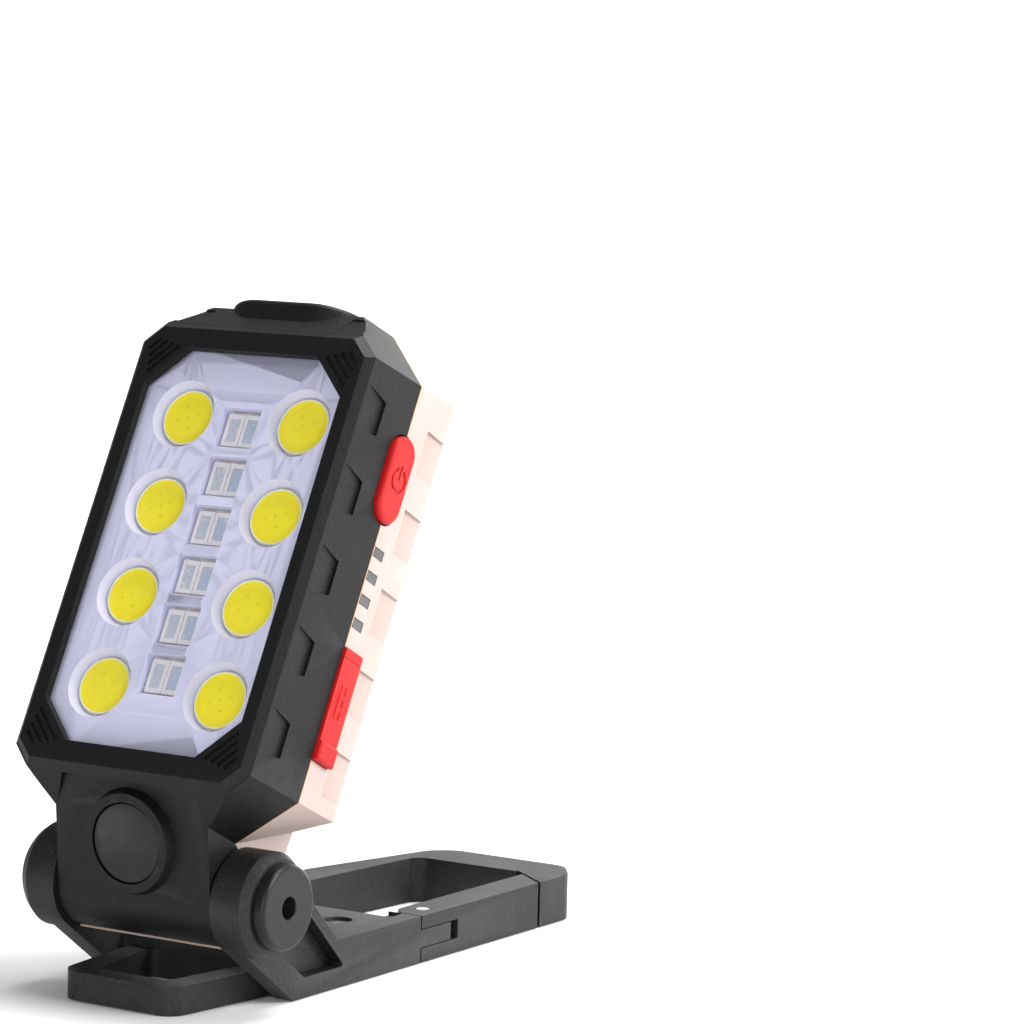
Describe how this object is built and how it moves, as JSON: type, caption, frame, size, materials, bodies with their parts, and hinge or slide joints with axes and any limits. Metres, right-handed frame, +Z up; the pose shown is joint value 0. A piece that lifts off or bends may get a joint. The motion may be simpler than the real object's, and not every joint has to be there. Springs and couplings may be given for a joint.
{
  "type": "work light",
  "caption": "Folding rechargeable work light: a flat lamp head with a window of round lamps, a torch end, a tilting magnetic foot and a snap hook.",
  "frame": {"origin": "underside of the foot, midway between the two magnets", "axes": "+Z up from the surface it stands on, +Y from the hinge to the snap hook, +X towards the power button; the lamps face -Y"},
  "size_m": [0.0459, 0.1006, 0.1004],
  "materials": {
    "black_nylon": "fine spark-eroded texture, glass-filled nylon",
    "black_abs": "satin moulded ABS, black",
    "tan_abs": "satin moulded ABS, pale peach tan",
    "red_silicone": "matt red silicone",
    "clear_lens": "clear polycarbonate, polished",
    "white_reflector": "white moulded reflector seen cool lavender",
    "board_white": "white solder mask on an aluminium board",
    "cob_yellow": "yellow phosphor silicone",
    "led_package": "white ceramic-filled lamp body",
    "board_green": "green solder mask",
    "cell_wrap": "shrink sleeve over a steel can",
    "smoke_window": "smoked clear light pipes",
    "nickel": "nickel plated",
    "steel": "zinc plated steel",
    "bronze": "sintered bronze",
    "chromed": "vacuum-metallised cup",
    "nylon_white": "white nylon"
  },
  "bodies": {
    "root": {"base_bracket": "black_nylon", "base_magnets": "nickel", "gate_pin": "steel", "gate_spring": "steel", "hinge_bolt": "steel", "hinge_nut": "steel", "hinge_washers": "steel", "pivot_cap_left": "black_nylon", "pivot_cap_right": "black_nylon"},
    "head": {"front_shell": "black_abs", "rear_shell": "tan_abs", "lens_cover": "clear_lens", "reflector_panel": "white_reflector", "led_board": "board_white", "cob_leds": "cob_yellow", "red_leds": "led_package", "blue_leds": "led_package", "torch_housing": "black_abs", "torch_board": "board_white", "torch_led": "cob_yellow", "torch_reflector": "chromed", "torch_lens": "clear_lens", "battery_cell": "cell_wrap", "control_board": "board_green", "tact_switch": "black_abs", "indicator_leds": "led_package", "charge_windows": "smoke_window", "charging_socket": "nickel", "port_cover_anchor": "red_silicone", "neck_badge": "black_abs", "shell_screws": "steel", "neck_bushes": "bronze"},
    "button": {"power_button": "red_silicone", "switch_plunger": "nylon_white"},
    "flap": {"port_cover": "red_silicone"},
    "gate": {"hook_gate": "black_nylon"}
  },
  "joints": [
    {"name": "head_tilt", "type": "hinge", "parent": "root", "child": "head", "pos_m": [0, -0.034, 0.0157], "axis": [1, 0, 0], "range_deg": [-43, 96]},
    {"name": "button_press", "type": "slide", "parent": "head", "child": "button", "axis": [-1, 0, 0], "range_m": [0, 0.0005], "stiffness_N_per_m": 600},
    {"name": "port_cover_fold", "type": "hinge", "parent": "head", "child": "flap", "pos_m": [0.0229, -0.01984, 0.04971], "axis": [0, -0.8934, 0.4493], "range_deg": [0, 110]},
    {"name": "gate_swing", "type": "hinge", "parent": "root", "child": "gate", "pos_m": [0.0145, 0.0126, 0.0036], "axis": [0, 0, 1], "range_deg": [0, 38], "stiffness_Nm_per_rad": 0.01, "springref_deg": -45.84}
  ]
}
